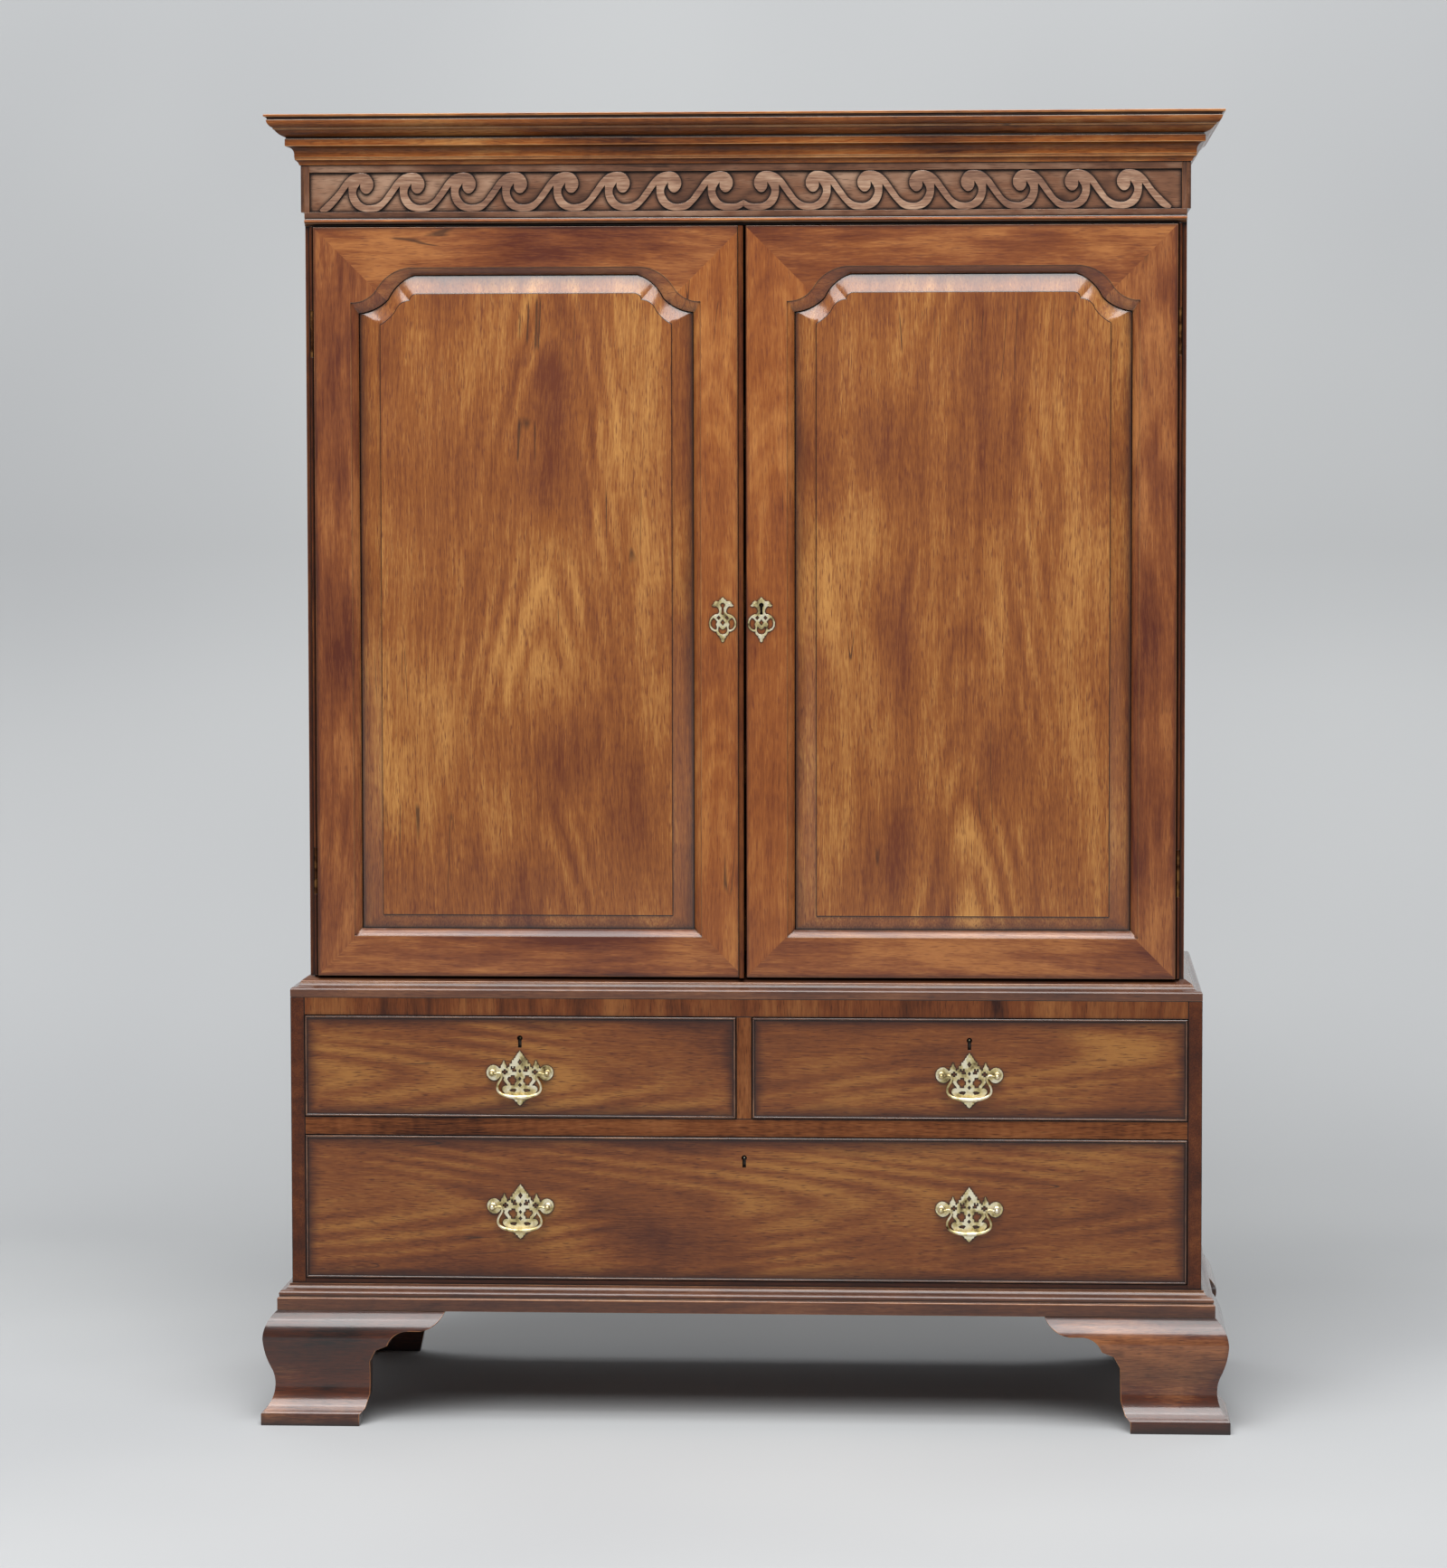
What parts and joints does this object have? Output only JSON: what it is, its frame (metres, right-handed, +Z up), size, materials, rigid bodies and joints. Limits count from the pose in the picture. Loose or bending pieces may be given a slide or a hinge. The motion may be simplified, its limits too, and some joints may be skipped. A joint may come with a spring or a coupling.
{
  "type": "linen press",
  "caption": "Mahogany linen press: shouldered panel doors before sliding trays, above drawers with pierced brass pulls, on ogee bracket feet under a wave-scroll frieze and cornice.",
  "frame": {"origin": "on the floor, in the middle of the press's overall width and depth", "axes": "+X to the right as one faces the doors, +Y to the back, +Z up"},
  "size_m": [1.3814, 0.6158, 1.865],
  "materials": {
    "mahogany": "French polished mahogany",
    "tray_mahogany": "dry, unpolished mahogany",
    "oak": "aged bare oak",
    "brass": "aged lacquered cast brass",
    "lock_iron": "dark brushed iron"
  },
  "bodies": {
    "case": {"base_side_left": "mahogany", "base_side_right": "mahogany", "base_back": "oak", "base_bottom": "oak", "base_top": "oak", "drawer_rails": "mahogany", "drawer_runners": "oak", "waist_moulding": "mahogany", "plinth_moulding": "mahogany", "front_left_foot": "mahogany", "front_right_foot": "mahogany", "back_left_foot": "mahogany", "back_right_foot": "mahogany", "press_side_left": "mahogany", "press_side_right": "mahogany", "press_top": "oak", "press_bottom": "oak", "press_back": "oak", "cornice": "mahogany", "frieze": "mahogany", "frieze_astragal": "mahogany", "frieze_scroll": "mahogany", "case_hinges": "brass"},
    "left_door": {"left_door_frame": "mahogany", "left_door_panel": "mahogany", "meeting_bead": "mahogany", "left_escutcheon": "brass", "left_door_hinges": "brass", "left_door_bolt_plates": "brass"},
    "right_door": {"right_door_frame": "mahogany", "right_door_panel": "mahogany", "right_escutcheon": "brass", "right_door_hinges": "brass", "right_door_lock": "lock_iron"},
    "left_door_top_bolt": {"left_door_top_bolt": "brass"},
    "left_door_bottom_bolt": {"left_door_bottom_bolt": "brass"},
    "right_door_lock_bolt": {"right_door_lock_bolt": "lock_iron"},
    "left_drawer": {"left_drawer_front": "mahogany", "left_drawer_box": "oak", "left_drawer_lock": "lock_iron", "left_drawer_pulls": "brass"},
    "left_drawer_lock_bolt": {"left_drawer_lock_bolt": "lock_iron"},
    "right_drawer": {"right_drawer_front": "mahogany", "right_drawer_box": "oak", "right_drawer_lock": "lock_iron", "right_drawer_pulls": "brass"},
    "right_drawer_lock_bolt": {"right_drawer_lock_bolt": "lock_iron"},
    "long_drawer": {"long_drawer_front": "mahogany", "long_drawer_box": "oak", "long_drawer_lock": "lock_iron", "long_drawer_pulls": "brass"},
    "long_drawer_lock_bolt": {"long_drawer_lock_bolt": "lock_iron"},
    "left_bail": {"left_bail": "brass"},
    "right_bail": {"right_bail": "brass"},
    "long_left_bail": {"long_left_bail": "brass"},
    "long_right_bail": {"long_right_bail": "brass"},
    "linen_tray_1": {"linen_tray_1": "tray_mahogany"},
    "linen_tray_2": {"linen_tray_2": "tray_mahogany"},
    "linen_tray_3": {"linen_tray_3": "tray_mahogany"},
    "linen_tray_4": {"linen_tray_4": "tray_mahogany"}
  },
  "joints": [
    {"name": "left_door_hinge", "type": "hinge", "parent": "case", "child": "left_door", "pos_m": [-0.6147, -0.24415, 1.1746], "axis": [0, 0, -1], "range_deg": [0, 120]},
    {"name": "right_door_hinge", "type": "hinge", "parent": "case", "child": "right_door", "pos_m": [0.6147, -0.24415, 1.1746], "axis": [0, 0, 1], "range_deg": [0, 120]},
    {"name": "left_door_top_bolt_slide", "type": "slide", "parent": "left_door", "child": "left_door_top_bolt", "axis": [0, 0, 1], "range_m": [0, 0.01]},
    {"name": "left_door_bottom_bolt_slide", "type": "slide", "parent": "left_door", "child": "left_door_bottom_bolt", "axis": [0, 0, -1], "range_m": [0, 0.01]},
    {"name": "right_door_lock_bolt_slide", "type": "slide", "parent": "right_door", "child": "right_door_lock_bolt", "axis": [-1, 0, 0], "range_m": [0, 0.008]},
    {"name": "left_drawer_slide", "type": "slide", "parent": "case", "child": "left_drawer", "axis": [0, -1, 0], "range_m": [0, 0.4]},
    {"name": "left_drawer_lock_bolt_slide", "type": "slide", "parent": "left_drawer", "child": "left_drawer_lock_bolt", "axis": [0, 0, 1], "range_m": [0, 0.008]},
    {"name": "right_drawer_slide", "type": "slide", "parent": "case", "child": "right_drawer", "axis": [0, -1, 0], "range_m": [0, 0.4]},
    {"name": "right_drawer_lock_bolt_slide", "type": "slide", "parent": "right_drawer", "child": "right_drawer_lock_bolt", "axis": [0, 0, 1], "range_m": [0, 0.008]},
    {"name": "long_drawer_slide", "type": "slide", "parent": "case", "child": "long_drawer", "axis": [0, -1, 0], "range_m": [0, 0.4]},
    {"name": "long_drawer_lock_bolt_slide", "type": "slide", "parent": "long_drawer", "child": "long_drawer_lock_bolt", "axis": [0, 0, 1], "range_m": [0, 0.008]},
    {"name": "left_bail_swing", "type": "hinge", "parent": "left_drawer", "child": "left_bail", "pos_m": [-0.3205, -0.28015, 0.5047], "axis": [-1, 0, 0], "range_deg": [-10, 150]},
    {"name": "right_bail_swing", "type": "hinge", "parent": "right_drawer", "child": "right_bail", "pos_m": [0.3205, -0.28015, 0.5047], "axis": [-1, 0, 0], "range_deg": [-10, 150]},
    {"name": "long_left_bail_swing", "type": "hinge", "parent": "long_drawer", "child": "long_left_bail", "pos_m": [-0.3205, -0.28015, 0.3128], "axis": [-1, 0, 0], "range_deg": [-10, 150]},
    {"name": "long_right_bail_swing", "type": "hinge", "parent": "long_drawer", "child": "long_right_bail", "pos_m": [0.3205, -0.28015, 0.3128], "axis": [-1, 0, 0], "range_deg": [-10, 150]},
    {"name": "linen_tray_1_slide", "type": "slide", "parent": "case", "child": "linen_tray_1", "axis": [0, -1, 0], "range_m": [0, 0.02]},
    {"name": "linen_tray_2_slide", "type": "slide", "parent": "case", "child": "linen_tray_2", "axis": [0, -1, 0], "range_m": [0, 0.02]},
    {"name": "linen_tray_3_slide", "type": "slide", "parent": "case", "child": "linen_tray_3", "axis": [0, -1, 0], "range_m": [0, 0.02]},
    {"name": "linen_tray_4_slide", "type": "slide", "parent": "case", "child": "linen_tray_4", "axis": [0, -1, 0], "range_m": [0, 0.02]}
  ]
}
